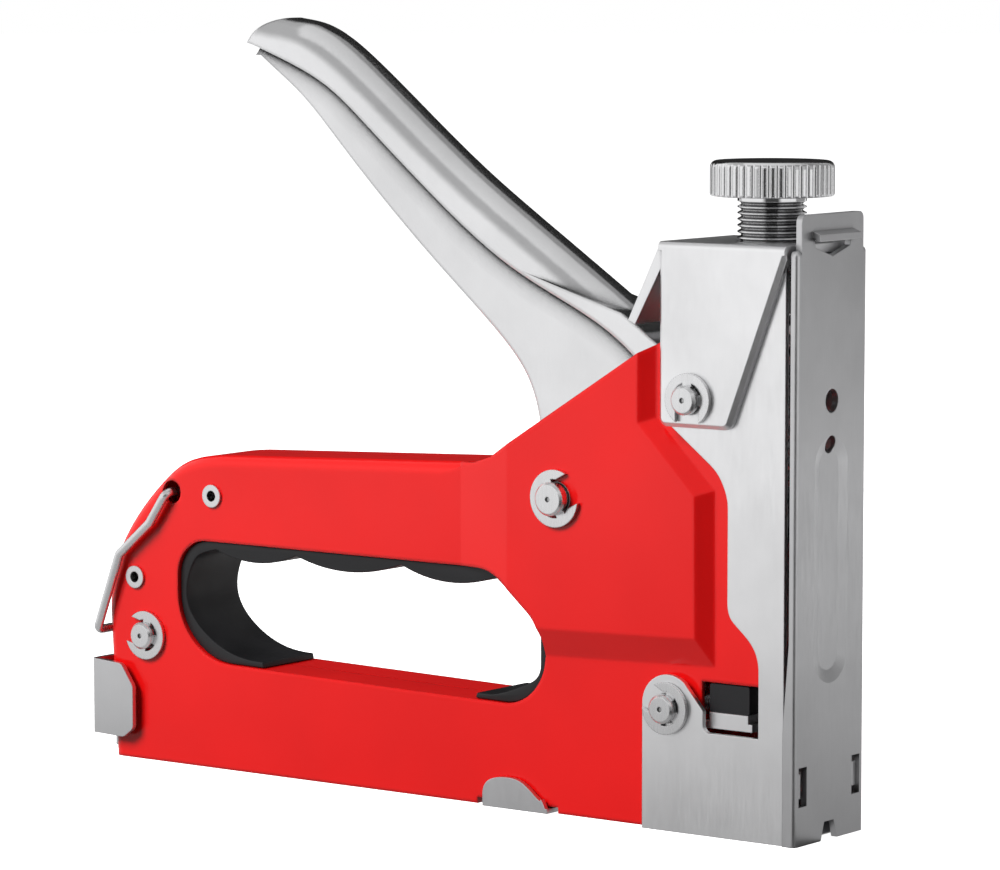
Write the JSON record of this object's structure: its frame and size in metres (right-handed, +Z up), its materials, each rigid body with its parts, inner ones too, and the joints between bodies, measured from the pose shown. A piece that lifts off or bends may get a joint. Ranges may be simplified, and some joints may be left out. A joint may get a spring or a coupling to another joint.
{
  "type": "staple gun",
  "caption": "Hand staple gun with a pressed red body, squeeze lever, steel nose, drive spring adjuster knob, lock bail and rear-loading staple magazine.",
  "frame": {"origin": "middle of the nose at base level: the front wall of the drive slot, on the tool's mid-plane, on the plane the base rests on", "axes": "+X out of the nose, away from the hand; +Z up from the base; +Y to the tool's left seen from behind; y = 0 is the mid-plane"},
  "size_m": [0.1894, 0.0344, 0.165],
  "materials": {
    "body_red": "high gloss enamel",
    "lever_chrome": "polished plate",
    "nose_steel": "satin nickel plate",
    "plate_steel": "satin nickel plate",
    "pin_steel": "bright machined",
    "wire_steel": "bright drawn wire",
    "spring_steel": "oiled wire",
    "dark_steel": "hardened, oiled",
    "knob_chrome": "polished",
    "black_rubber": "matt",
    "grip_rubber": "matt"
  },
  "bodies": {
    "body": {"left_shell": "body_red", "right_shell": "body_red", "nose_frame": "nose_steel", "front_plate": "plate_steel", "hood": "nose_steel", "pivot_pin": "pin_steel", "hood_pin": "pin_steel", "nose_pin": "pin_steel", "rear_pin": "pin_steel", "pivot_rings": "pin_steel", "clip_rings": "pin_steel", "body_rivets": "pin_steel", "pivot_spacers": "pin_steel", "return_spring": "spring_steel", "drive_spring": "spring_steel", "bumper": "black_rubber", "anvil_block": "nose_steel", "magazine_channel": "nose_steel", "base_clip": "nose_steel", "grip_insert": "grip_rubber"},
    "lever": {"lever_shell": "lever_chrome", "lever_bush": "pin_steel"},
    "plunger": {"plunger_block": "dark_steel", "lift_pin": "pin_steel", "striker_blade": "dark_steel"},
    "seat": {"spring_seat": "dark_steel"},
    "adjuster": {"adjuster_screw": "knob_chrome", "adjuster_knob": "knob_chrome"},
    "bail": {"lock_bail": "wire_steel"},
    "magazine": {"guide_rail": "nose_steel", "feed_rod": "pin_steel", "latch_cap": "nose_steel", "pusher_spring": "spring_steel"},
    "pusher": {"pusher": "dark_steel"}
  },
  "joints": [
    {"name": "lever_squeeze", "type": "hinge", "parent": "body", "child": "lever", "pos_m": [-0.0573, 0, 0.0666], "axis": [0, -1, 0], "range_deg": [0, 44], "stiffness_Nm_per_rad": 0.4, "springref_deg": -34.38, "deforming": ["return_spring"]},
    {"name": "plunger_lift", "type": "slide", "parent": "body", "child": "plunger", "axis": [0, 0, 1], "range_m": [0, 0.0233], "stiffness_N_per_m": 600, "springref_m": -0.02, "deforming": ["drive_spring"]},
    {"name": "adjuster_travel", "type": "slide", "parent": "body", "child": "seat", "axis": [0, 0, -1], "range_m": [0, 0.0075], "deforming": ["drive_spring"]},
    {"name": "knob_turn", "type": "hinge", "parent": "seat", "child": "adjuster", "pos_m": [-0.0126, 0, 0.12], "axis": [0, 0, 1], "range_deg": [0, 2160]},
    {"name": "lock_bail_swing", "type": "hinge", "parent": "body", "child": "bail", "pos_m": [-0.164, 0, 0.0605], "axis": [0, 1, 0], "range_deg": [0, 127]},
    {"name": "magazine_slide", "type": "slide", "parent": "body", "child": "magazine", "axis": [-1, 0, 0], "range_m": [0, 0.13]},
    {"name": "pusher_slide", "type": "slide", "parent": "magazine", "child": "pusher", "axis": [-1, 0, 0], "range_m": [0, 0.1], "stiffness_N_per_m": 20, "springref_m": -0.1, "deforming": ["pusher_spring"]}
  ],
  "couplings": [
    {"joint": "plunger_lift", "follows": "lever_squeeze", "m_per_rad": 0.030129},
    {"joint": "knob_turn", "follows": "adjuster_travel", "rad_per_m": 5026.5}
  ]
}
